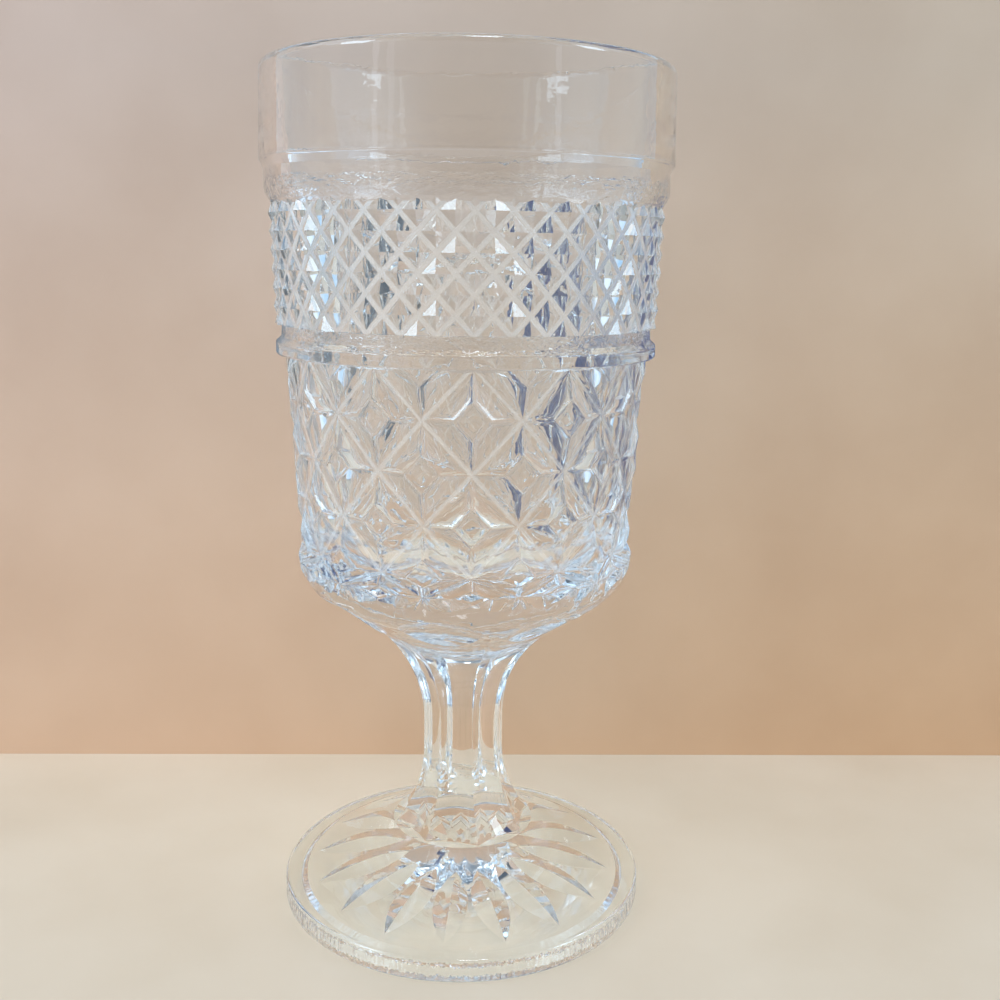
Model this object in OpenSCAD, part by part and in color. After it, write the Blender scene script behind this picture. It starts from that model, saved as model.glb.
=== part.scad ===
// Stemmed water goblet of clear pressed glass.
// A rayed foot, a fluted stem and a patterned bowl, joined hot, face on flat face.
// Heights run up from the table and angles run round the axis from +X.

/* [Foot] */
// Radius of the foot's side wall
foot_r = 37.8; // [34:0.1:44]
// Height of the flat seat that the stem stands on
foot_h = 15.5; // [13:0.1:18]
// Height of the foot's side wall
rim_h = 4.9; // [4:0.1:7]
// Rounding of the side wall's two edges
rim_round = 0.9; // [0.4:0.1:1.4]
// Width of the ring that rests on the table
ring_w = 3.2; // [2:0.1:4.5]
// Height of the bevelled step inside the resting ring
step_h = 1.4; // [0.8:0.1:2.2]
// Width of the bevelled step
step_w = 1.2; // [0.6:0.1:2]
// Thickness of the glass in the middle of the foot
foot_middle_t = 10.9; // [9.5:0.1:11.9]
// Radius of the flat middle of the hollow
hollow_flat_r = 7; // [4:0.1:9]
// Margin of the seat round the stem's lobed end
seat_margin = 0.4; // [0.1:0.1:1]
// Number of leaves pressed into the underside
leaf_count = 16; // [8:1:18]
// Gap between the hollow's flat middle and the leaves' inner tips
leaf_inner_gap = 3; // [1:0.1:5]
// Gap between the leaves' outer tips and the bevelled step
leaf_outer_gap = 2.5; // [1:0.1:6]
// Width of a leaf
leaf_w = 6.4; // [3:0.1:7]
// Height of a leaf's ridge above the hollow
leaf_depth = 1.7; // [0.8:0.1:2.4]
// Turn of the leaves round the axis, in degrees
leaf_turn = 16; // [0:0.5:22]

/* [Stem] */
// Height of the stem between its two joints
stem_h = 44.5; // [39:0.5:56]
// Radius over the edges at the waist
waist_r = 8.5; // [7:0.1:10.5]
// Height of the straight waist
waist_h = 6.5; // [3:0.1:9]
// Height of the flare between the foot and the waist
foot_flare_h = 16; // [12:0.1:17]
// Radius over the edges where the stem meets the foot
stem_foot_r = 14.4; // [12:0.1:16]
// Radius of the round head under the bowl
stem_head_r = 19.8; // [16:0.1:21]
// Number of flutes
flute_count = 8; // [6:1:12]
// Depth of a flute at the waist, below a flat side
flute_depth = 0.5; // [0.2:0.05:0.9]
// Height in which the flutes run out into the head
flute_runout = 6; // [4:0.5:12]
// Turn of the stem's edges round the axis, in degrees
flute_turn = 13; // [0:0.5:44]

/* [Bowl] */
// Height of the rounded shoulder, from the stem to the lattice
shoulder_h = 17.2; // [16:0.1:22]
// Radius of the shoulder's curve
shoulder_r = 14; // [11:0.1:15]
// Thickness of the glass under the bowl's floor
floor_t = 14.5; // [11:0.1:18]
// Radius of the curve between floor and wall
floor_curve_r = 12; // [8:0.1:15]
// Thickness of the wall where the floor's curve ends
base_w = 5.5; // [4.6:0.1:7]
// Thickness of the wall at the lip
lip_w = 3.1; // [2.8:0.1:4]
// Rounding of the lip's two edges
lip_round = 1.2; // [0.5:0.05:1.3]

/* [Collar and neck] */
// Radius of the plain collar at its lower edge
collar_r = 39.5; // [37:0.1:43]
// How far the collar draws in towards the lip
lip_draw = 0.4; // [0:0.1:1]
// Height of the plain collar
collar_h = 17.5; // [12:0.1:26]
// Height of the bevel under the collar
collar_bevel_h = 1.6; // [0.8:0.1:3]
// How far the neck stands in from the collar
neck_step = 0.8; // [0.4:0.1:1.2]
// Height of the neck
neck_h = 5; // [3:0.1:8]

/* [Diamond belt] */
// Number of diamonds round the belt
diamond_count = 36; // [24:1:40]
// Number of half diamonds in the belt's height
diamond_half_rows = 7; // [5:1:9]
// Height of the belt
belt_h = 24; // [18:0.1:30]
// How far the belt's points stand in from the neck
belt_step = 0.5; // [0.4:0.1:0.8]
// How far the belt draws in from its top to its bottom
belt_draw = 1; // [0.4:0.1:1.4]
// Depth of the grooves at the belt's top
belt_top_depth = 1.3; // [0.8:0.05:1.4]
// Depth of the grooves at the belt's bottom
belt_bottom_depth = 0.7; // [0.5:0.05:0.9]

/* [Girdle] */
// Height of the plain girdle between the patterns
girdle_h = 2.7; // [1.8:0.1:5]
// Height of the groove over the girdle
groove_h = 3; // [1.6:0.1:5]
// Depth of the groove in the girdle
groove_depth = 1.2; // [0.8:0.1:1.4]
// How far the groove's floor stands in from the belt's grooves
wall_step = 0.6; // [0.5:0.1:0.8]

/* [Lattice] */
// Number of large diamonds round the lattice
cell_count = 12; // [9:1:14]
// Number of half cells in the lattice's height
cell_half_rows = 4; // [3:1:5]
// Height of the lattice
lattice_h = 38; // [30:0.1:46]
// How far the lattice's centres stand in from the girdle
lattice_step = 0.5; // [0.4:0.1:0.8]
// How far the lattice draws in from its top to its bottom
lattice_draw = 2.2; // [1:0.1:2.6]
// Depth of the lattice's grooves
lattice_depth = 1.6; // [0.8:0.05:1.8]
// Turn of both patterns round the axis, in degrees
pattern_turn = 2; // [0:0.5:29]

/* [Hidden] */

// One overrun serves every cut, and one lap every seam within the bowl.
overrun = 2;
lap = 0.5;
round_fn = 180;
arc_steps = 8;

// Shares that shape the curves and the patterns.
foot_bow_share = 1.35;
leaf_wide_share = 0.475;
scoop_share = 0.78;
centre_share = 1 / 3;
cell_divisions = 3;
flute_divisions = 6;
shoulder_turn = 66;

// Levels of the bowl, measured up from its joint with the stem.
lattice_z0 = shoulder_h;
lattice_z1 = lattice_z0 + lattice_h;
girdle_z0 = lattice_z1 - lap;
girdle_z1 = girdle_z0 + girdle_h;
belt_z0 = girdle_z1 + groove_h;
belt_z1 = belt_z0 + belt_h;
neck_z0 = belt_z1 - lap;
neck_z1 = neck_z0 + neck_h;
collar_z0 = neck_z1 + collar_bevel_h;
bowl_h = collar_z0 + collar_h;

// Radii of the bowl, each worked out from the one above it.
lip_r = collar_r - lip_draw;
neck_r = collar_r - neck_step;
belt_top_r = neck_r - belt_step;
belt_bottom_r = belt_top_r - belt_draw;
wall_r = belt_bottom_r - belt_bottom_depth - wall_step;
girdle_r = wall_r + groove_depth;
lattice_top_r = girdle_r - lattice_step;
lattice_bottom_r = lattice_top_r - lattice_draw;
cavity_top_r = lip_r - lip_w;
cavity_floor_r = lattice_bottom_r - base_w;

// Joints of the three pieces, measured up from the table.
stem_z0 = foot_h;
bowl_z0 = foot_h + stem_h;
seat_r = stem_foot_r + seat_margin;

function mix(a, b, t) = a + (b - a) * t;
function at(angle, radius, z) = [radius * cos(angle), radius * sin(angle), z];

// Points of an arc in a profile, from one angle to another.
function arc(centre, radius, from, to) = [
    for (k = [0:arc_steps])
        let (a = mix(from, to, k / arc_steps))
        centre + radius * [cos(a), sin(a)]
];

// A solid skinned over rings of points. Rings run upwards, points run anticlockwise.
// Each block of rows and columns is split along the diagonal that its groove follows.
module skin(rings, block) {
    count = len(rings[0]);
    last = len(rings) - 1;
    function id(i, j) = j * count + (i % count);
    function rising(i, j) = (floor(i / block) + floor(j / block)) % 2 == 0;
    sides = [
        for (j = [0:last - 1], i = [0:count - 1])
            each rising(i, j)
                ? [[id(i, j), id(i + 1, j + 1), id(i + 1, j)], [id(i, j), id(i, j + 1), id(i + 1, j + 1)]]
                : [[id(i, j), id(i, j + 1), id(i + 1, j)], [id(i + 1, j), id(i, j + 1), id(i + 1, j + 1)]]
    ];
    floor_face = [for (i = [0:count - 1]) id(i, 0)];
    roof_face = [for (i = [count - 1:-1:0]) id(i, last)];
    polyhedron([for (ring = rings) each ring], concat(sides, [floor_face, roof_face]), convexity = 8);
}

// Foot

hollow_h = foot_h - foot_middle_t;
hollow_edge_r = foot_r - rim_round - ring_w;
slope_r = hollow_edge_r - step_w;
leaf_inner_r = hollow_flat_r + leaf_inner_gap;
leaf_outer_r = slope_r - leaf_outer_gap;
leaf_wide_r = mix(leaf_inner_r, leaf_outer_r, leaf_wide_share);

// Height of the hollow's slope at a radius, between the bevelled step and the flat middle.
function hollow_z(r) = mix(hollow_h, step_h, (r - hollow_flat_r) / (slope_r - hollow_flat_r));

module foot_blank() {
    top_edge_r = foot_r - rim_round;
    bow = [
        for (k = [1:arc_steps])
            let (t = k / arc_steps)
            [mix(seat_r, top_edge_r, t), mix(rim_h, foot_h, pow(1 - t, foot_bow_share))]
    ];
    lower_edge = arc([foot_r - rim_round, rim_round], rim_round, -90, 0);
    upper_edge = arc([foot_r - rim_round, rim_h - rim_round], rim_round, 0, 75);
    hollow = [[0, hollow_h], [hollow_flat_r, hollow_h], [slope_r, step_h], [hollow_edge_r, 0]];
    reversed_bow = [for (k = [arc_steps - 1:-1:0]) bow[k]];
    rotate_extrude($fn = round_fn)
        polygon(concat(hollow, lower_edge, upper_edge, reversed_bow, [[seat_r, foot_h], [0, foot_h]]));
}

// One leaf: a pointed cut whose ridge follows the hollow and whose tips run out on its surface.
module leaf_cut() {
    inner = [leaf_inner_r, 0, hollow_z(leaf_inner_r)];
    outer = [leaf_outer_r, 0, hollow_z(leaf_outer_r)];
    side_z = hollow_z(leaf_wide_r);
    ridge = [leaf_wide_r, 0, side_z + leaf_depth];
    keel = [leaf_wide_r, 0, side_z - leaf_depth];
    left = [leaf_wide_r, leaf_w / 2, side_z];
    right = [leaf_wide_r, -leaf_w / 2, side_z];
    polyhedron(
        [inner, outer, ridge, keel, left, right],
        [[0, 4, 2], [2, 4, 1], [1, 5, 2], [2, 5, 0], [0, 3, 4], [4, 3, 1], [1, 3, 5], [5, 3, 0]]
    );
}

module foot() {
    color([0.82, 0.9, 0.9, 0.6])
        difference() {
            foot_blank();
            for (k = [0:leaf_count - 1])
                rotate([0, 0, leaf_turn + 360 * k / leaf_count])
                    leaf_cut();
        }
}

// Stem

waist_top_z = foot_flare_h + waist_h;

// Rise of a round flare that spreads by a given amount over a given height.
function flare(spread, height, z) =
    let (radius = (height * height + spread * spread) / (2 * spread))
    radius - sqrt(radius * radius - z * z);

// Radius over the stem's edges at a height above the foot.
function stem_r(z) =
    z < foot_flare_h ? waist_r + flare(stem_foot_r - waist_r, foot_flare_h, foot_flare_h - z)
    : z > waist_top_z ? waist_r + flare(stem_head_r - waist_r, stem_h - waist_top_z, z - waist_top_z)
    : waist_r;

// How far a section is fluted: whole along the stem, none where the head is round.
function fluting(z) =
    let (t = (z - stem_h + flute_runout) / flute_runout)
    t < 0 ? 1 : 1 - t * t;

function stem_ring(z) =
    let (r = stem_r(z), step = 360 / flute_count, sag = flute_depth * r / waist_r)
    [
        for (i = [0:flute_count - 1], k = [0:flute_divisions - 1])
            let (
                s = k / flute_divisions,
                from = flute_turn + i * step,
                chord = mix(at(from, r, z), at(from + step, r, z), s),
                middle = at(from + step / 2, sag * 4 * s * (1 - s), 0)
            )
            mix(at(from + step * s, r, z), chord - middle, fluting(z))
    ];

module stem() {
    rows = 3 * arc_steps;
    levels = [for (k = [0:rows]) stem_h * k / rows];
    color([0.85, 0.93, 0.93, 0.6])
        translate([0, 0, stem_z0])
            skin([for (z = levels) stem_ring(z)], flute_divisions);
}

// Bowl

// Height of the relief in a block of pattern, from 0 in a groove to 1 at a diamond's centre.
// The scoop bends the four facets inwards, and the centre is cut off level.
function relief(a, b, even, scoop, centre) =
    let (
        near = even ? a >= b : a + b <= 1,
        u = even ? (near ? 1 - a : a) : (near ? a : 1 - a),
        v = even ? (near ? b : 1 - b) : (near ? b : 1 - b),
        rise = 1 - pow(pow(u, scoop) + pow(v, scoop), 1 / scoop)
    )
    max(0, min(1, rise / (1 - centre)));

// Relief of a pattern at column i and row j, with a number of divisions to each half cell.
function pattern(i, j, divisions, scoop, centre) =
    relief(
        (i % divisions) / divisions,
        (j % divisions) / divisions,
        (floor(i / divisions) + floor(j / divisions)) % 2 == 0,
        scoop,
        centre
    );

// One ring of a pattern: the radius falls from the crest by the depth that the relief leaves.
function pattern_ring(count, i_turn, crest, depth, z, j, divisions, scoop, centre) =
    let (columns = 2 * count * divisions)
    [
        for (i = [0:columns - 1])
            at(i_turn + 360 * i / columns, crest - depth * (1 - pattern(i, j, divisions, scoop, centre)), z)
    ];

module diamond_belt() {
    rings = [
        for (j = [0:diamond_half_rows])
            let (t = j / diamond_half_rows)
            pattern_ring(
                diamond_count, pattern_turn, mix(belt_bottom_r, belt_top_r, t),
                mix(belt_bottom_depth, belt_top_depth, t), mix(belt_z0, belt_z1, t), j, 1, 1, 0
            )
    ];
    skin(rings, 1);
}

// The lattice, with the shoulder that its grooves fade out in and the underside down to the joint.
module lower_body() {
    columns = 2 * cell_count * cell_divisions;
    arc_end = [
        lattice_bottom_r - shoulder_r * (1 - cos(shoulder_turn)),
        lattice_z0 - shoulder_r * sin(shoulder_turn)
    ];
    underside = [for (k = [0:2]) mix([stem_head_r, 0], arc_end, k / 3)];
    shoulder = [
        for (k = [0:arc_steps - 1])
            let (a = shoulder_turn * (1 - k / arc_steps))
            [lattice_bottom_r - shoulder_r * (1 - cos(a)), lattice_z0 - shoulder_r * sin(a)]
    ];
    plain = [for (p = underside) [for (i = [0:columns - 1]) at(pattern_turn + 360 * i / columns, p[0], p[1])]];
    fading = [
        for (k = [0:arc_steps - 1])
            pattern_ring(
                cell_count, pattern_turn, shoulder[k][0], lattice_depth * pow(k / arc_steps, 2),
                shoulder[k][1], 0, cell_divisions, scoop_share, centre_share
            )
    ];
    rows = cell_half_rows * cell_divisions;
    lattice = [
        for (j = [0:rows])
            let (t = j / rows)
            pattern_ring(
                cell_count, pattern_turn, mix(lattice_bottom_r, lattice_top_r, t), lattice_depth,
                mix(lattice_z0, lattice_z1, t), j, cell_divisions, scoop_share, centre_share
            )
    ];
    skin(concat(plain, fading, lattice), cell_divisions);
}

// The round parts: girdle, the wall behind the belt, neck, collar and lip.
module upper_body() {
    root_r = lattice_bottom_r - lattice_depth;
    root_z = lattice_z1 - lattice_h / 4;
    lip = arc([lip_r - lip_round, bowl_h - lip_round], lip_round, 0, 90);
    rotate_extrude($fn = round_fn)
        polygon(concat(
            [[0, root_z], [root_r, root_z], [root_r, girdle_z0], [girdle_r, girdle_z0], [girdle_r, girdle_z1]],
            [[wall_r, girdle_z1 + groove_h / 4], [wall_r, neck_z0], [neck_r, neck_z0], [neck_r, neck_z1]],
            [[collar_r, collar_z0]],
            lip,
            [[0, bowl_h]]
        ));
}

module cavity() {
    floor_curve = arc([cavity_floor_r - floor_curve_r, floor_t + floor_curve_r], floor_curve_r, -90, 0);
    lip_curve = arc([cavity_top_r + lip_round, bowl_h - lip_round], lip_round, 180, 105);
    mouth_r = lip_curve[arc_steps][0];
    rotate_extrude($fn = round_fn)
        polygon(concat(
            [[0, floor_t]], floor_curve, lip_curve, [[mouth_r, bowl_h + overrun], [0, bowl_h + overrun]]
        ));
}

module bowl() {
    color([0.88, 0.95, 0.95, 0.6])
        translate([0, 0, bowl_z0])
            difference() {
                union() {
                    lower_body();
                    upper_body();
                    diamond_belt();
                }
                cavity();
            }
}

foot();
stem();
bowl();
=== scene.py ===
import math

import bmesh
import bpy
from mathutils import Matrix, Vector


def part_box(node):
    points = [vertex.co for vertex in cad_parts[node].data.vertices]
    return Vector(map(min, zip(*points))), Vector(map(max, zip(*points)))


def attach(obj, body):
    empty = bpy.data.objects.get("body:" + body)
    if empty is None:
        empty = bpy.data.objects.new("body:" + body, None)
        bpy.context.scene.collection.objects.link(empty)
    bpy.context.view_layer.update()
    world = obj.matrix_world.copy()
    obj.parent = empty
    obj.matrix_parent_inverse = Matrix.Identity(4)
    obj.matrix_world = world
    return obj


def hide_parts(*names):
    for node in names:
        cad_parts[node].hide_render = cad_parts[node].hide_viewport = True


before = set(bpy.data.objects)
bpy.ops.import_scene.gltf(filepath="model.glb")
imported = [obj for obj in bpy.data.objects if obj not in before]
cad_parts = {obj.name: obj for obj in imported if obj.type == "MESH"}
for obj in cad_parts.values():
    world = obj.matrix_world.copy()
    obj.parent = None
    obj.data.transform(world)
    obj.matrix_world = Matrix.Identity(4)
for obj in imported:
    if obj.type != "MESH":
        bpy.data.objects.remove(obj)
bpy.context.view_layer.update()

# Foot. A round disc of clear soda-lime glass, pressed in an iron mould and fire-polished.
# It stands on a narrow ring, and the lower plunger leaves sixteen leaves in its hollow underside.
# Its middle carries the stem, which is joined to it hot.

# Pieces are modelled in millimetres, and brought to metres once they are whole.
MM = 0.001
foot_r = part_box("foot")[1].x / MM
seat_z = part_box("foot")[1].z / MM
rim_h = 4.9
rim_round = 0.9
ring_w = 3.2
step_h, step_w = 1.4, 1.2
hollow_flat_r, hollow_h = 7, 4.6
seat_r = 14.8
bow_share = 1.35
round_steps = 192
edge_steps = 6

leaf_count = 16
leaf_turn = 16
leaf_in_r, leaf_out_r = 9.5, 30.5
leaf_depth = 1.6
leaf_half_w = 3.2
leaf_below = 0.9

# The stem's outline is part of the foot too: it rises from the seat as one glass with it.
flute_count = 8
flute_turn = 13
flute_steps = round_steps // flute_count
flute_share = 0.5 / 8.5
stem_foot_r = 14.4
seat_step = 0.15


def pick(kind, wanted):
    """Selects what `wanted` accepts of the vertices, edges or faces of the piece in edit mode."""
    bpy.ops.mesh.select_all(action="DESELECT")
    bpy.ops.mesh.select_mode(type=kind)
    net = bmesh.from_edit_mesh(bpy.context.edit_object.data)
    for item in {"VERT": net.verts, "EDGE": net.edges, "FACE": net.faces}[kind]:
        if wanted(item):
            item.select_set(True)
    net.select_flush_mode()
    bmesh.update_edit_mesh(bpy.context.edit_object.data)


def arc(centre_r, centre_z, radius, start, end, steps):
    """Points of a round edge in a half section, between two angles in degrees."""
    angles = [math.radians(start + (end - start) * k / steps) for k in range(steps + 1)]
    return [(centre_r + radius * math.cos(a), centre_z + radius * math.sin(a)) for a in angles]


def spun(name, section):
    """A round solid, spun from a half section of (radius, height) points."""
    bpy.ops.object.select_all(action="DESELECT")
    bpy.ops.mesh.primitive_plane_add(size=1)
    piece = bpy.context.object
    piece.name = name
    bpy.ops.object.mode_set(mode="EDIT")
    bpy.ops.mesh.select_mode(type="VERT")
    bpy.ops.mesh.merge(type="CENTER")
    bpy.ops.transform.translate(value=(section[0][0], 0, section[0][1]))
    for (r0, z0), (r1, z1) in zip(section, section[1:]):
        bpy.ops.mesh.extrude_region_move(TRANSFORM_OT_translate={"value": (r1 - r0, 0, z1 - z0)})
    bpy.ops.mesh.select_all(action="SELECT")
    bpy.ops.mesh.spin(steps=round_steps, angle=math.tau, center=(0, 0, 0), axis=(0, 0, 1))
    bpy.ops.mesh.select_all(action="SELECT")
    bpy.ops.mesh.remove_doubles(threshold=0.001)
    bpy.ops.mesh.normals_make_consistent(inside=False)
    bpy.ops.object.mode_set(mode="OBJECT")
    return piece


def fluted_outline(name, radius, z):
    """The stem's outline as a ring of points: an octagon whose sides are pressed in."""
    bpy.ops.object.select_all(action="DESELECT")
    bpy.ops.mesh.primitive_circle_add(vertices=flute_count, radius=radius, location=(0, 0, z))
    piece = bpy.context.object
    piece.name = name
    bpy.ops.object.transform_apply(location=True)
    bpy.ops.object.mode_set(mode="EDIT")
    # A circle's first point lies on +Y, so it is turned to the stem's first edge.
    first = math.radians(flute_turn - 90)
    net = bmesh.from_edit_mesh(piece.data)
    bmesh.ops.rotate(net, verts=net.verts, cent=(0, 0, 0), matrix=Matrix.Rotation(first, 3, "Z"))
    bpy.ops.mesh.select_all(action="SELECT")
    bpy.ops.mesh.subdivide(number_cuts=flute_steps - 1)
    half_side = math.pi / flute_count
    for point in bmesh.from_edit_mesh(piece.data).verts:
        round_angle = math.atan2(point.co.y, point.co.x) - math.radians(flute_turn)
        off_middle = round_angle % (2 * half_side) - half_side
        across = math.tan(off_middle) / math.tan(half_side)
        inwards = 1 - flute_share * (1 - across * across) / math.cos(half_side)
        point.co.x *= inwards
        point.co.y *= inwards
    bmesh.update_edit_mesh(piece.data)
    return piece


def boolean(piece, tool, operation):
    """Joins a solid to the piece, or cuts the piece with it."""
    step = piece.modifiers.new(operation.lower(), "BOOLEAN")
    step.operation = operation
    step.object = tool
    step.solver = "EXACT"
    bpy.context.view_layer.objects.active = piece
    bpy.ops.object.modifier_apply(modifier=step.name)
    bpy.data.objects.remove(tool)


hollow_edge_r = foot_r - rim_round - ring_w
slope_r = hollow_edge_r - step_w
top_edge_r = foot_r - rim_round
low_seat_z = seat_z - seat_step
bow = [
    (seat_r + (top_edge_r - seat_r) * t, rim_h + (low_seat_z - rim_h) * (1 - t) ** bow_share)
    for t in [k / 16 for k in range(15, 0, -1)]
]
foot = spun(
    "foot_piece",
    [(0, hollow_h), (hollow_flat_r, hollow_h), (slope_r, step_h), (hollow_edge_r, 0)]
    + arc(top_edge_r, rim_round, rim_round, -90, 0, edge_steps)
    + arc(top_edge_r, rim_h - rim_round, rim_round, 0, 80, edge_steps)
    + bow
    + [(seat_r, low_seat_z), (0, low_seat_z)],
)

# The end of the stem that rises from the seat.
stub = fluted_outline("stub", stem_foot_r, seat_z)
bpy.ops.mesh.select_all(action="SELECT")
bpy.ops.mesh.edge_face_add()
bpy.ops.mesh.extrude_region_move(TRANSFORM_OT_translate={"value": (0, 0, hollow_h - seat_z + 2)})
bpy.ops.mesh.select_all(action="SELECT")
bpy.ops.mesh.normals_make_consistent(inside=False)
bpy.ops.object.mode_set(mode="OBJECT")
boolean(foot, stub, "UNION")

# One leaf is what a wheel with a sharp rim would cut: a lens with a ridge along its middle.
leaf_middle_r = (leaf_in_r + leaf_out_r) / 2
leaf_length = leaf_out_r - leaf_in_r
wheel_r = (leaf_length**2 / 4 + leaf_depth**2) / (2 * leaf_depth)
hollow_slope = math.atan((hollow_h - step_h) / (slope_r - hollow_flat_r))
hollow_z = hollow_h - (leaf_middle_r - hollow_flat_r) * math.tan(hollow_slope)
flank = 3 * leaf_depth
bpy.ops.object.select_all(action="DESELECT")
bpy.ops.mesh.primitive_circle_add(vertices=144, radius=wheel_r, rotation=(math.pi / 2, 0, 0))
leaf = bpy.context.object
bpy.ops.object.transform_apply(rotation=True)
bpy.ops.object.mode_set(mode="EDIT")
for side in (1, -1):
    pick("VERT", lambda v: abs(v.co.y) < 0.001)
    half_w = side * flank * leaf_half_w / leaf_depth
    bpy.ops.mesh.extrude_region_move(TRANSFORM_OT_translate={"value": (0, half_w, 0)})
    shrink = (wheel_r - flank) / wheel_r
    bpy.ops.transform.resize(value=(shrink, 1, shrink), center_override=(0, half_w, 0))
    bpy.ops.mesh.edge_face_add()
bpy.ops.mesh.select_all(action="SELECT")
bpy.ops.mesh.normals_make_consistent(inside=False)
bpy.ops.mesh.bisect(
    plane_co=(0, 0, wheel_r - leaf_depth - leaf_below),
    plane_no=(0, 0, 1),
    clear_inner=True,
    use_fill=True,
)
bpy.ops.mesh.select_all(action="SELECT")
bpy.ops.mesh.normals_make_consistent(inside=False)
bpy.ops.object.mode_set(mode="OBJECT")
leaf.data.transform(
    Matrix.Translation((leaf_middle_r, 0, hollow_z))
    @ Matrix.Rotation(hollow_slope, 4, "Y")
    @ Matrix.Translation((0, 0, leaf_depth - wheel_r))
)
leaves = [leaf]
for k in range(1, leaf_count):
    bpy.ops.object.select_all(action="DESELECT")
    leaf.select_set(True)
    bpy.context.view_layer.objects.active = leaf
    bpy.ops.object.duplicate()
    copy = bpy.context.object
    copy.data.transform(Matrix.Rotation(math.tau * k / leaf_count, 4, "Z"))
    leaves.append(copy)
bpy.ops.object.select_all(action="DESELECT")
for cut in leaves:
    cut.select_set(True)
bpy.context.view_layer.objects.active = leaf
bpy.ops.object.join()
leaf.data.transform(Matrix.Rotation(math.radians(leaf_turn), 4, "Z"))
boolean(foot, leaf, "DIFFERENCE")


def linear(hex_code):
    """An sRGB hex colour as linear light."""
    shares = [int(hex_code[k : k + 2], 16) / 255 for k in (1, 3, 5)]
    return [c / 12.92 if c <= 0.04045 else ((c + 0.055) / 1.055) ** 2.4 for c in shares] + [1]


def add_node(tree, kind, inputs, **settings):
    """Adds a shader node. An input takes a value, or a link from another node's output."""
    node = tree.nodes.new("ShaderNode" + kind)
    for name, value in settings.items():
        setattr(node, name, value)
    for name, value in inputs.items():
        if isinstance(value, bpy.types.NodeSocket):
            tree.links.new(value, node.inputs[name])
        else:
            node.inputs[name].default_value = value
    return node


# Soda-lime glass has an index of about 1.52 and a faint grey cast. Fire-polishing melts its
# skin smooth, so it is clear and sharp, but the press leaves the skin gently wavy.
glass_tint = "#fcfcfb"
glass_index = 1.52
glass_shade = "#f3f3f0"


def pressed_glass(name, wave_mm, wave_depth_mm, stretch=(1, 1, 1), clear_share=1.0, matt=0.0):
    """Pressed glass whose skin waves over `wave_mm`. Light passes it, so shadows stay pale."""
    material = bpy.data.materials.new(name)
    material.use_nodes = True
    tree = material.node_tree
    tree.nodes.clear()
    place = add_node(tree, "TexCoord", {})
    turned = add_node(tree, "Mapping", {"Vector": place.outputs["Object"], "Scale": stretch})
    waves = add_node(
        tree, "TexNoise", {"Vector": turned.outputs[0], "Scale": 1 / (wave_mm * MM), "Detail": 2.0}
    )
    skin = add_node(
        tree, "Bump", {"Height": waves.outputs[0], "Distance": wave_depth_mm * MM, "Strength": 1.0}
    )
    glass = add_node(
        tree,
        "BsdfPrincipled",
        {
            "Base Color": linear(glass_tint),
            "Roughness": matt,
            "IOR": glass_index,
            # Where clear_share is below one, the rest of the glass scatters white, which is
            # painted sheen.
            "Transmission Weight": clear_share,
            "Normal": skin.outputs[0],
        },
    )
    clear = add_node(tree, "BsdfTransparent", {"Color": linear(glass_shade)})
    ray = add_node(tree, "LightPath", {})
    both = add_node(tree, "MixShader", {0: ray.outputs["Is Shadow Ray"]})
    tree.links.new(glass.outputs[0], both.inputs[1])
    tree.links.new(clear.outputs[0], both.inputs[2])
    add_node(tree, "OutputMaterial", {"Surface": both.outputs[0]})
    return material


# Where two pieces were joined hot there is no surface left: light goes straight through.
hot_joint = bpy.data.materials.new("hot_joint_in_glass")
hot_joint.use_nodes = True
hot_joint.node_tree.nodes.clear()
through = add_node(hot_joint.node_tree, "BsdfTransparent", {"Color": linear("#ffffff")})
add_node(hot_joint.node_tree, "OutputMaterial", {"Surface": through.outputs[0]})

foot_glass = pressed_glass("pressed_glass_foot", 9, 0.02)
# The mould's ring leaves fine upright strokes on the side wall, which scatter what they mirror.
foot_side_glass = pressed_glass("pressed_glass_foot_side", 0.8, 0.5, (1, 1, 0.3))
joint_slot = 1
foot_side_slot = 2


def finish_glass(piece, materials, joints, sharp_deg):
    """Brings a piece to metres, smooths its round faces, and gives it glass and clear joints."""
    bpy.ops.object.select_all(action="DESELECT")
    piece.select_set(True)
    bpy.context.view_layer.objects.active = piece
    bpy.ops.object.mode_set(mode="EDIT")
    bpy.ops.mesh.select_all(action="SELECT")
    bpy.ops.mesh.remove_doubles(threshold=0.005)
    bpy.ops.mesh.dissolve_degenerate(threshold=0.005)
    bpy.ops.object.mode_set(mode="OBJECT")
    for material in materials:
        piece.data.materials.append(material)
    for face in piece.data.polygons:
        level = abs(face.normal.z) > 0.999
        if level and any(abs(face.center.z - z) < 0.01 for z in joints):
            face.material_index = joint_slot
    bpy.ops.object.shade_smooth_by_angle(angle=math.radians(sharp_deg))
    even = piece.modifiers.new("even_shading", "WEIGHTED_NORMAL")
    even.keep_sharp = True
    bpy.ops.object.modifier_apply(modifier=even.name)
    piece.scale = (MM, MM, MM)
    bpy.ops.object.transform_apply(scale=True)


finish_glass(foot, [foot_glass, hot_joint, foot_side_glass], [seat_z], 15)
for face in foot.data.polygons:
    out_r = math.hypot(face.center.x, face.center.y) / MM
    if out_r > foot_r - 0.4 and abs(face.normal.z) < 0.5:
        face.material_index = foot_side_slot
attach(foot, "root")
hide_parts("foot")

# Stem. A solid stem of the same glass, pressed with eight flutes. It flares below to a lobed
# base on the foot, and above to a round head under the bowl, where the flutes run out.
stem_top_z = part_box("stem")[1].z / MM
stem_h = stem_top_z - seat_z
waist_r = 8.5
foot_flare_h = 16
waist_h = 6.5
stem_head_r = 19.8
flute_runout = 6
stem_rows = 64


def flare(spread, height, z):
    """How far a round flare has spread at a height z above its narrow end."""
    radius = (height**2 + spread**2) / (2 * spread)
    return radius - math.sqrt(radius**2 - z**2)


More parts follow.
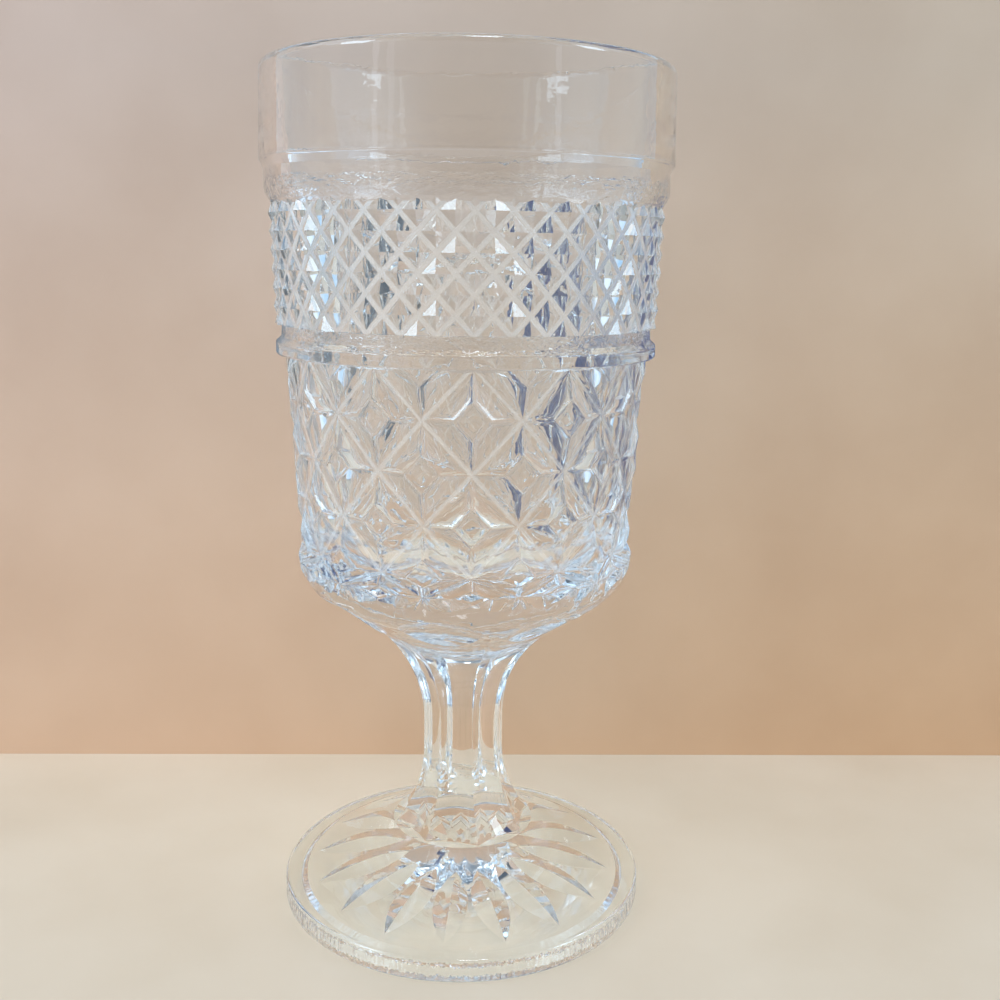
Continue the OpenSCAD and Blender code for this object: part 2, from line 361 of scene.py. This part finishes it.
def stem_r(z):
    """Radius over the stem's edges at a height above its lower joint."""
    head_z = foot_flare_h + waist_h
    if z < foot_flare_h:
        return waist_r + flare(stem_foot_r - waist_r, foot_flare_h, foot_flare_h - z)
    if z > head_z:
        return waist_r + flare(stem_head_r - waist_r, stem_h - head_z, z - head_z)
    return waist_r


stem = fluted_outline("stem_piece", stem_foot_r, seat_z)
bpy.ops.mesh.select_all(action="SELECT")
rounding = 0
for row in range(stem_rows):
    below, above = stem_h * row / stem_rows, stem_h * (row + 1) / stem_rows
    bpy.ops.mesh.extrude_region_move(TRANSFORM_OT_translate={"value": (0, 0, above - below)})
    run = max(0, (above - stem_h + flute_runout) / flute_runout) ** 2
    if run > rounding:
        bpy.ops.transform.tosphere(
            value=1 - (1 - run) / (1 - rounding), center_override=(0, 0, seat_z + above)
        )
        rounding = run
    ring = [v for v in bmesh.from_edit_mesh(stem.data).verts if v.select]
    grow = stem_r(above) / max(math.hypot(v.co.x, v.co.y) for v in ring)
    bpy.ops.transform.resize(value=(grow, grow, 1), center_override=(0, 0, seat_z + above))
bpy.ops.mesh.edge_face_add()
pick("VERT", lambda v: abs(v.co.z - seat_z) < 0.001)
bpy.ops.mesh.edge_face_add()
bpy.ops.mesh.select_all(action="SELECT")
bpy.ops.mesh.normals_make_consistent(inside=False)
bpy.ops.object.mode_set(mode="OBJECT")
stem_glass = pressed_glass("pressed_glass_stem", 7, 0.02)
finish_glass(stem, [stem_glass, hot_joint], [seat_z, stem_top_z], 15)
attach(stem, "root")
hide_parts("stem")

# Bowl. The cup of the same glass: a plain collar and lip, a neck, a belt of small diamonds,
# a plain girdle, a lattice of large diamonds and a thick round bottom. It is pressed in one
# with its pattern, between a mould and a plunger, and joined hot to the stem's head.
bowl_top_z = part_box("bowl")[1].z / MM
collar_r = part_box("bowl")[1].x / MM
collar_z = bowl_top_z - 17.5
neck_z = collar_z - 1.6
belt_top_z = neck_z - 4.5
belt_low_z = belt_top_z - 24
girdle_top_z = belt_low_z - 3
girdle_low_z = girdle_top_z - 2.7
lattice_top_z = girdle_low_z + 0.5
lattice_low_z = lattice_top_z - 38
collar_round = 0.5
lip_r = collar_r - 0.4
lip_round = 1.4
lip_w = 3.1
neck_r = collar_r - 0.8
belt_top_r = neck_r - 0.5
belt_low_r = belt_top_r - 1
wall_r = 35.9
girdle_r = 37.1
girdle_round = 0.5
lattice_top_r, lattice_low_r = 36.6, 34.4
lattice_depth = 2.4
root_r = 32.2
shoulder_r = 14
shoulder_turn = 66
floor_z = stem_top_z + 14.5
floor_curve_r = 12
base_w = 5.5
pattern_turn = 2

belt_count, belt_rows = 36, 7
belt_top_depth, belt_low_depth = 1.5, 1.0
belt_groove_w, belt_ridge_w = 0.5, 0.12
cell_count, cell_rows = 12, 4
cell_groove_w, cell_ridge_w = 0.4, 0.2
table_share = 0.38
runout_share = 0.35
scoop_in, scoop_depth = 0.62, 0.24

shoulder = [
    (
        lattice_low_r - shoulder_r * (1 - math.cos(math.radians(a))),
        lattice_low_z - shoulder_r * math.sin(math.radians(a)),
    )
    for a in [shoulder_turn * (1 - k / 24) for k in range(25)]
]
bowl = spun(
    "bowl_piece",
    [(0, girdle_low_z - 12), (root_r, girdle_low_z - 12)]
    + [(root_r, girdle_low_z - 2), (root_r + 2.6, girdle_low_z)]
    + arc(girdle_r - girdle_round, girdle_low_z + girdle_round, girdle_round, -90, 0, edge_steps)
    + arc(girdle_r - girdle_round, girdle_top_z - girdle_round, girdle_round, 0, 70, edge_steps)
    + [(wall_r + 0.15, girdle_top_z + 0.7), (wall_r, belt_low_z), (wall_r, belt_top_z - 3)]
    + [(belt_top_r - 0.5, belt_top_z - 1.2), (neck_r - 0.15, belt_top_z + 0.3)]
    + [(neck_r, belt_top_z + 1), (neck_r, neck_z - 2), (neck_r, neck_z)]
    + arc(collar_r - collar_round, collar_z + 0.1, collar_round, -60, 0, 5)
    + arc(lip_r - lip_round, bowl_top_z - lip_round, lip_round, 0, 90, 10)
    + [(0, bowl_top_z)],
)


def net_drum(name, count, half_rows, low, top, depths, plain_rows=-1):
    """A drum whose side is a net of blocks, its crossings pressed in and its middles left out.
    It runs one row past both ends, which are cut off level later. The crossings of the rows
    below `plain_rows` are not pressed in. Also gives the test for a crossing point."""
    columns = 2 * count
    bpy.ops.object.select_all(action="DESELECT")
    bpy.ops.mesh.primitive_circle_add(vertices=columns, radius=1)
    piece = bpy.context.object
    piece.name = name
    bpy.ops.object.mode_set(mode="EDIT")
    first = math.radians(pattern_turn - 90)
    net = bmesh.from_edit_mesh(piece.data)
    bmesh.ops.rotate(net, verts=net.verts, cent=(0, 0, 0), matrix=Matrix.Rotation(first, 3, "Z"))
    bpy.ops.mesh.select_all(action="SELECT")
    row_h = (top[1] - low[1]) / half_rows

    def is_crossing(point):
        turn = math.atan2(point.co.y, point.co.x) - math.radians(pattern_turn)
        row = (point.co.z - low[1]) / row_h
        return (round(turn / math.tau * columns) + round(row)) % 2 == 0

    for row in range(-1, half_rows + 2):
        if row > -1:
            bpy.ops.mesh.extrude_region_move(TRANSFORM_OT_translate={"value": (0, 0, row_h)})
        else:
            bpy.ops.transform.translate(value=(0, 0, low[1] - row_h))
        share = row / half_rows
        crest = low[0] + (top[0] - low[0]) * share
        depth = depths[0] + (depths[1] - depths[0]) * share
        for point in bmesh.from_edit_mesh(piece.data).verts:
            if point.select:
                pressed = row >= plain_rows and is_crossing(point)
                radius = crest - depth if pressed else crest
                reach = math.hypot(point.co.x, point.co.y)
                point.co.x *= radius / reach
                point.co.y *= radius / reach
        bmesh.update_edit_mesh(piece.data)
    pick("VERT", is_crossing)
    bpy.ops.mesh.vert_connect()
    return piece, is_crossing


def cut_level(low_z, top_z):
    """Cuts both ends of the drum in edit mode off level, and closes them."""
    for z, keep_above in ((low_z, True), (top_z, False)):
        bpy.ops.mesh.select_all(action="SELECT")
        bpy.ops.mesh.bisect(
            plane_co=(0, 0, z),
            plane_no=(0, 0, 1),
            clear_inner=keep_above,
            clear_outer=not keep_above,
            use_fill=True,
        )
    bpy.ops.mesh.select_all(action="SELECT")
    bpy.ops.mesh.normals_make_consistent(inside=False)
    bpy.ops.object.mode_set(mode="OBJECT")


# The diamond belt: points on a net of crossed grooves with narrow flat bottoms.
belt, belt_crossing = net_drum(
    "belt",
    belt_count,
    belt_rows,
    (belt_low_r, belt_low_z),
    (belt_top_r, belt_top_z),
    (belt_low_depth, belt_top_depth),
)
pick("EDGE", lambda e: all(belt_crossing(v) for v in e.verts) and not e.is_boundary)
bpy.ops.mesh.bevel(offset=belt_groove_w, segments=1, affect="EDGES")
pick(
    "EDGE",
    lambda e: not e.is_boundary
    and len(e.link_faces) == 2
    and e.is_convex
    and e.calc_face_angle() > math.radians(10),
)
bpy.ops.mesh.bevel(offset=belt_ridge_w, segments=2, affect="EDGES", clamp_overlap=True)
cut_level(belt_low_z, belt_top_z)

# The lattice: large cells, each with a small flat table and four scooped facets round it.
half_cell = (lattice_top_z - lattice_low_z) / cell_rows
half_draw = (lattice_top_r - lattice_low_r) / cell_rows
lattice, cell_crossing = net_drum(
    "lattice",
    cell_count,
    cell_rows + 2,
    (lattice_low_r - 2 * half_draw, lattice_low_z - 2 * half_cell),
    (lattice_top_r, lattice_top_z),
    (lattice_depth, lattice_depth),
    plain_rows=2,
)
pick("VERT", lambda v: not cell_crossing(v) and not v.is_boundary)
bpy.ops.mesh.bevel(offset=table_share * half_cell, affect="VERTICES")
pick(
    "EDGE",
    lambda e: all(cell_crossing(v) for v in e.verts)
    and not e.is_boundary
    and e.calc_length() > half_cell,
)
bpy.ops.mesh.bevel(offset=cell_groove_w, segments=3, affect="EDGES")
facet_area = 0.25 * half_cell**2
pick("FACE", lambda f: len(f.verts) == 4 and f.calc_area() > facet_area)
bpy.ops.mesh.inset(thickness=scoop_in, depth=-scoop_depth, use_individual=True)
bpy.ops.mesh.inset(thickness=scoop_in, depth=-scoop_depth / 2, use_individual=True)
pick(
    "EDGE",
    lambda e: not e.is_boundary
    and len(e.link_faces) == 2
    and e.is_convex
    and e.calc_face_angle() > math.radians(18),
)
bpy.ops.mesh.bevel(offset=cell_ridge_w, segments=2, affect="EDGES", clamp_overlap=True)
# Under the lowest crossings the facets run out within a few millimetres.
pick("VERT", lambda v: 0.01 < lattice_low_z - v.co.z < 1.4 * half_cell)
bpy.ops.transform.resize(value=(1, 1, runout_share), center_override=(0, 0, lattice_low_z))
cut_level(stem_top_z - 0.5, lattice_top_z)
shoulder_form = spun(
    "shoulder_form",
    [(0, stem_top_z), (stem_head_r, stem_top_z)]
    + shoulder
    + [(lattice_low_r + 0.4, lattice_low_z + 1), (lattice_top_r + 0.4, lattice_top_z + 1)]
    + [(0, lattice_top_z + 1)],
)
boolean(lattice, shoulder_form, "INTERSECT")

boolean(bowl, belt, "UNION")
boolean(bowl, lattice, "UNION")

# The plunger's cavity, a little wider at the lip than at the floor.
cavity_floor_r = lattice_low_r - base_w
cavity_top_r = lip_r - lip_w
mouth = arc(cavity_top_r + lip_round, bowl_top_z - lip_round, lip_round, 180, 100, 10)
cavity = spun(
    "cavity",
    [(0, floor_z)]
    + arc(cavity_floor_r - floor_curve_r, floor_z + floor_curve_r, floor_curve_r, -90, 0, 24)
    + mouth
    + [(mouth[-1][0], bowl_top_z + 3), (0, bowl_top_z + 3)],
)
boolean(bowl, cavity, "DIFFERENCE")

# The stem's flutes run on as shallow dishes over the bowl's underside.
dish_r, dish_z, dish_slope = 26.4, 64.6, 35
dish_bulge, dish_half_w, dish_half_run, dish_depth = 6, 12.4, 10, 1.9
dishes = []
for k in range(flute_count):
    bpy.ops.object.select_all(action="DESELECT")
    bpy.ops.mesh.primitive_uv_sphere_add(segments=96, ring_count=64, radius=1)
    dish = bpy.context.object
    dish.name = f"dish_{k + 1}"
    turn = flute_turn + 360 / flute_count * (k + 0.5)
    dish.data.transform(
        Matrix.Rotation(math.radians(turn), 4, "Z")
        @ Matrix.Translation((dish_r, 0, dish_z))
        @ Matrix.Rotation(math.radians(90 - dish_slope), 4, "Y")
        @ Matrix.Translation((dish_bulge - dish_depth, 0, 0))
        @ Matrix.Diagonal((dish_bulge, dish_half_w, dish_half_run, 1))
    )
    dishes.append(dish)
for dish in dishes:
    dish.select_set(True)
bpy.context.view_layer.objects.active = dishes[0]
bpy.ops.object.join()
boolean(bowl, dishes[0], "DIFFERENCE")
bowl_glass = pressed_glass("pressed_glass_bowl", 3, 0.03)
# The neck is where the mould's ring met its body: its skin is chilled into small ripples.
neck_glass = pressed_glass("pressed_glass_neck", 2.2, 0.4, (1, 1, 2.5))
# Below the lattice the thick glass cooled last, and its skin is drawn into slow waves.
shoulder_glass = pressed_glass("pressed_glass_shoulder", 8, 0.45)
# The raised pattern is given a faint white haze: painted sheen, lightening it as scattered light
# would. The mould's tool marks leave its groove bottoms matt, and their milky white is painted
# sheen that stands in for their broad reflections.
pattern_sheen_glass = pressed_glass("pressed_glass_pattern_painted_sheen", 3, 0.05, (1, 1, 1), 0.97)
groove_sheen_glass = pressed_glass("pressed_glass_groove_painted_sheen", 3, 0.03, (1, 1, 1), 0.79, 0.2)
finish_glass(
    bowl,
    [bowl_glass, hot_joint, neck_glass, shoulder_glass, groove_sheen_glass, pattern_sheen_glass],
    [stem_top_z],
    14,
)
neck_slot, shoulder_slot, groove_sheen_slot, pattern_sheen_slot = 2, 3, 4, 5


def is_groove_bottom(z, out_r, facing_out, width):
    """Whether a face with this place, in mm, lies at the bottom of a groove of the pattern."""
    share = (z - belt_low_z) / (belt_top_z - belt_low_z)
    below_crest = belt_low_r + (belt_top_r - belt_low_r) * share - out_r
    if 0 < share < 1 and 0.5 < below_crest < 2.5 and facing_out > 0.97:
        return True
    share = (z - lattice_low_z) / (lattice_top_z - lattice_low_z)
    below_crest = lattice_low_r + (lattice_top_r - lattice_low_r) * share - out_r
    deep = 0.8 * lattice_depth < below_crest < 2 * lattice_depth
    return 0 < share < 0.99 and deep and facing_out > 0.97 and width < 0.35


for face in bowl.data.polygons:
    place = face.center / MM
    out_r = math.hypot(place.x, place.y)
    facing_out = (face.normal.x * place.x + face.normal.y * place.y) / max(out_r, 1e-6)
    corners = [bowl.data.vertices[k].co / MM for k in face.vertices]
    sides = [(a - b).length for a, b in zip(corners, corners[1:] + corners[:1])]
    width = face.area / MM**2 / max(sides)
    on_neck = out_r > neck_r - 1.5 and belt_top_z - 1 < place.z < neck_z - 1.5
    on_girdle = out_r > wall_r and girdle_top_z - 0.6 < place.z < belt_low_z - 0.2
    # The groove bottoms and the raised pattern take the glasses with painted sheen.
    if is_groove_bottom(place.z, out_r, facing_out, width):
        face.material_index = groove_sheen_slot
    elif place.z < lattice_low_z and out_r > 2 and face.material_index != joint_slot:
        face.material_index = shoulder_slot
    elif on_neck or on_girdle:
        face.material_index = neck_slot
    elif facing_out > 0.2 and lattice_low_z < place.z < belt_top_z:
        face.material_index = pattern_sheen_slot
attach(bowl, "root")
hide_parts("bowl")

# Table and backdrop. A pale cream table top with a tan paper wall close behind the glass.
# The wall is open from its back, so that it hides nothing from that side.
wall_y = 64


def matt_paper(name, hex_code, deep_hex, grain_mm):
    """Matt paper or laminate with soft clouds of a deeper shade."""
    material = bpy.data.materials.new(name)
    material.use_nodes = True
    tree = material.node_tree
    tree.nodes.clear()
    place = add_node(tree, "TexCoord", {})
    clouds = add_node(
        tree,
        "TexNoise",
        {"Vector": place.outputs["Object"], "Scale": 1 / (grain_mm * MM), "Detail": 4.0},
    )
    shade = add_node(tree, "ValToRGB", {"Fac": clouds.outputs[0]})
    shade.color_ramp.elements[0].position = 0.35
    shade.color_ramp.elements[0].color = linear(deep_hex)
    shade.color_ramp.elements[1].position = 0.65
    shade.color_ramp.elements[1].color = linear(hex_code)
    paper = add_node(tree, "BsdfPrincipled", {"Base Color": shade.outputs[0], "Roughness": 0.7})
    add_node(tree, "OutputMaterial", {"Surface": paper.outputs[0]})
    return material


bpy.ops.object.select_all(action="DESELECT")
bpy.ops.mesh.primitive_plane_add(size=4, location=(0, 0, -0.05 * MM))
table = bpy.context.object
table.name = "table_top"
bpy.ops.object.transform_apply(location=True)
table.data.materials.append(matt_paper("table_laminate", "#c9b9a5", "#c4b39e", 40))

bpy.ops.mesh.primitive_plane_add(
    size=1, location=(0.01, wall_y * MM, 0.11), rotation=(math.pi / 2, 0, 0)
)
wall = bpy.context.object
wall.name = "backdrop"
wall.scale = (0.34, 0.22, 1)
bpy.ops.object.transform_apply(location=True, rotation=True, scale=True)
# The paper is greyer near its top and warmer below and to the right, and it is clear from behind.
paper_mat = matt_paper("backdrop_paper", "#ffffff", "#f4f1ee", 60)
tree = paper_mat.node_tree
paper = tree.nodes["Principled BSDF"]
on_paper = tree.nodes["Texture Coordinate"].outputs["Object"]
where = add_node(tree, "SeparateXYZ", {"Vector": on_paper})
height = add_node(
    tree, "MapRange", {"Value": where.outputs["Z"], "From Min": 0.0, "From Max": 0.18}
)
across = add_node(
    tree, "MapRange", {"Value": where.outputs["X"], "From Min": -0.12, "From Max": 0.12}
)


def blended(kind, share, first, second):
    """A colour node of two inputs."""
    node = add_node(tree, "Mix", {0: share}, data_type="RGBA", blend_type=kind)
    for socket, colour in ((node.inputs[6], first), (node.inputs[7], second)):
        if isinstance(colour, bpy.types.NodeSocket):
            tree.links.new(colour, socket)
        else:
            socket.default_value = colour
    return node.outputs[2]


left = blended("MIX", height.outputs[0], linear("#cfae93"), linear("#baa89f"))
right = blended("MIX", height.outputs[0], linear("#caa684"), linear("#b8a99a"))
warmth = blended("MIX", across.outputs[0], left, right)
cloudy = blended("MULTIPLY", 1.0, warmth, paper.inputs["Base Color"].links[0].from_socket)
tree.links.new(cloudy, paper.inputs["Base Color"])
side = add_node(tree, "NewGeometry", {})
both = add_node(tree, "MixShader", {0: side.outputs["Backfacing"]})
tree.links.new(paper.outputs[0], both.inputs[1])
tree.links.new(add_node(tree, "BsdfTransparent", {}).outputs[0], both.inputs[2])
tree.links.new(both.outputs[0], tree.nodes["Material Output"].inputs["Surface"])
wall.data.materials.append(paper_mat)

# Light. Soft daylight from tall windows at both sides of a pale room, which is dim behind the
# camera and overhead. Its sky is bluish, and what the glass bends shows it a little brighter
# than it lights the paper.
world = bpy.data.worlds.new("pale_room")
bpy.context.scene.world = world
world.use_nodes = True
room = world.node_tree
room.nodes.clear()
direction = add_node(room, "TexCoord", {})
parts = add_node(
    room, "TexNoise", {"Vector": direction.outputs["Generated"], "Scale": 3.2, "Detail": 3.0}
)
tone = add_node(room, "ValToRGB", {"Fac": parts.outputs[0]})
tone.color_ramp.elements[0].position = 0.38
tone.color_ramp.elements[0].color = linear("#93bfe6")
tone.color_ramp.elements[1].position = 0.6
tone.color_ramp.elements[1].color = linear("#d8ecff")
depth = add_node(room, "SeparateXYZ", {"Vector": direction.outputs["Generated"]})
towards = add_node(
    room,
    "MapRange",
    {
        "Value": depth.outputs["Y"],
        "From Min": -0.95,
        "From Max": -0.55,
        "To Min": 0.12,
        "To Max": 0.85,
    },
)
overhead = add_node(
    room,
    "MapRange",
    {"Value": depth.outputs["Z"], "From Min": 0.4, "From Max": 0.8, "To Min": 1.0, "To Max": 0.32},
)
strength = add_node(
    room, "Math", {0: towards.outputs[0], 1: overhead.outputs[0]}, operation="MULTIPLY"
)
ray = add_node(room, "LightPath", {})
in_glass = add_node(
    room,
    "MapRange",
    {"Value": ray.outputs["Is Diffuse Ray"], "To Min": 1.55, "To Max": 0.95},
)
seen = add_node(
    room, "Math", {0: strength.outputs[0], 1: in_glass.outputs[0]}, operation="MULTIPLY"
)
around = add_node(room, "Background", {"Color": tone.outputs[0], "Strength": seen.outputs[0]})
plain = add_node(room, "Background", {"Color": linear("#dfe3e6"), "Strength": 0.9})
both = add_node(room, "MixShader", {0: ray.outputs["Is Camera Ray"]})
room.links.new(around.outputs[0], both.inputs[1])
room.links.new(plain.outputs[0], both.inputs[2])
add_node(room, "OutputWorld", {"Surface": both.outputs[0]})


def panel(name, place, aim, size, watts, hex_code):
    """A soft rectangular light at `place`, turned to `aim`, in metres."""
    lamp = bpy.data.lights.new(name, "AREA")
    lamp.shape = "RECTANGLE"
    lamp.size, lamp.size_y = size
    lamp.energy = watts
    lamp.color = linear(hex_code)[:3]
    light = bpy.data.objects.new(name, lamp)
    bpy.context.scene.collection.objects.link(light)
    light.location = place
    along = Matrix.Translation(aim).to_translation() - light.location
    light.rotation_euler = along.to_track_quat("-Z", "Y").to_euler()
    return light


for k, (across, watts) in enumerate(((-0.85, 0.2), (-0.62, 0.12), (0.8, 0.2))):
    panel(f"window_{k}", (across, -0.75, 0.6), (0, 0, 0.1), (0.06, 0.9), watts, "#dcefff")
panel("window_left", (-0.87, -0.46, 0.6), (0, 0, 0.1), (0.3, 0.42), 4.2, "#d3ecff")
panel("window_right", (0.92, -0.37, 0.6), (0, 0, 0.1), (0.25, 0.42), 3.3, "#d3ecff")
panel("window_left_far", (-1.0, -0.05, 0.95), (0, 0, 0.08), (0.6, 0.8), 3, "#b5dcff")
panel("window_right_far", (1.0, -0.1, 0.95), (0, 0, 0.08), (0.5, 0.8), 2, "#b5dcff")
panel("ceiling", (0.1, -0.3, 1.3), (0, 0, 0), (0.25, 0.2), 3, "#e6f2ff")
front = panel("front_soft", (-0.35, -0.95, 1.2), (0, 0, 0.08), (1.4, 1.0), 20, "#f8f3ec")
front.visible_glossy = False
front.visible_transmission = False

# Two dark things near the wall are out of the picture, and only the cut glass shows them.
for name, place, turn, size, hex_code in (
    ("navy_card", (0.0505, 0.040, 0.100), 23, (0.078, 0.048), "#132763"),
    ("slate_card", (-0.054, 0.047, 0.118), -23, (0.04, 0.03), "#33475a"),
):
    bpy.ops.mesh.primitive_plane_add(size=1)
    card = bpy.context.object
    card.name = name
    card.data.transform(
        Matrix.Translation(place)
        @ Matrix.Rotation(math.radians(turn), 4, "Z")
        @ Matrix.Rotation(math.radians(90), 4, "Y")
        @ Matrix.Diagonal((*size, 1, 1))
    )
    card.data.materials.append(matt_paper(name, hex_code, hex_code, 50))
    card.visible_camera = False
    card.visible_diffuse = False
    card.visible_shadow = False

# Camera. At the photograph's place: a little above the middle of the bowl, looking down.
camera_back, camera_up = 232.2, 134.5
camera_pitch, camera_yaw, camera_roll = 12.07, 1.75, 0.84
camera_data = bpy.data.cameras.new("camera")
camera_data.lens = 41.89
camera_data.sensor_width = 36
camera_data.clip_start = 0.01
camera = bpy.data.objects.new("camera", camera_data)
bpy.context.scene.collection.objects.link(camera)
camera.matrix_world = (
    Matrix.Translation((0, -camera_back * MM, camera_up * MM))
    @ Matrix.Rotation(-math.radians(camera_yaw), 4, "Z")
    @ Matrix.Rotation(math.radians(90 - camera_pitch), 4, "X")
    @ Matrix.Rotation(math.radians(camera_roll), 4, "Z")
)
bpy.context.scene.camera = camera

# Light goes through many glass faces, so its paths are long.
scene = bpy.context.scene
scene.cycles.max_bounces = 20
scene.cycles.transmission_bounces = 20
scene.cycles.glossy_bounces = 20
scene.cycles.transparent_max_bounces = 24
scene.cycles.caustics_reflective = False
scene.cycles.caustics_refractive = True
scene.cycles.sample_clamp_indirect = 4
scene.view_settings.view_transform = "Standard"
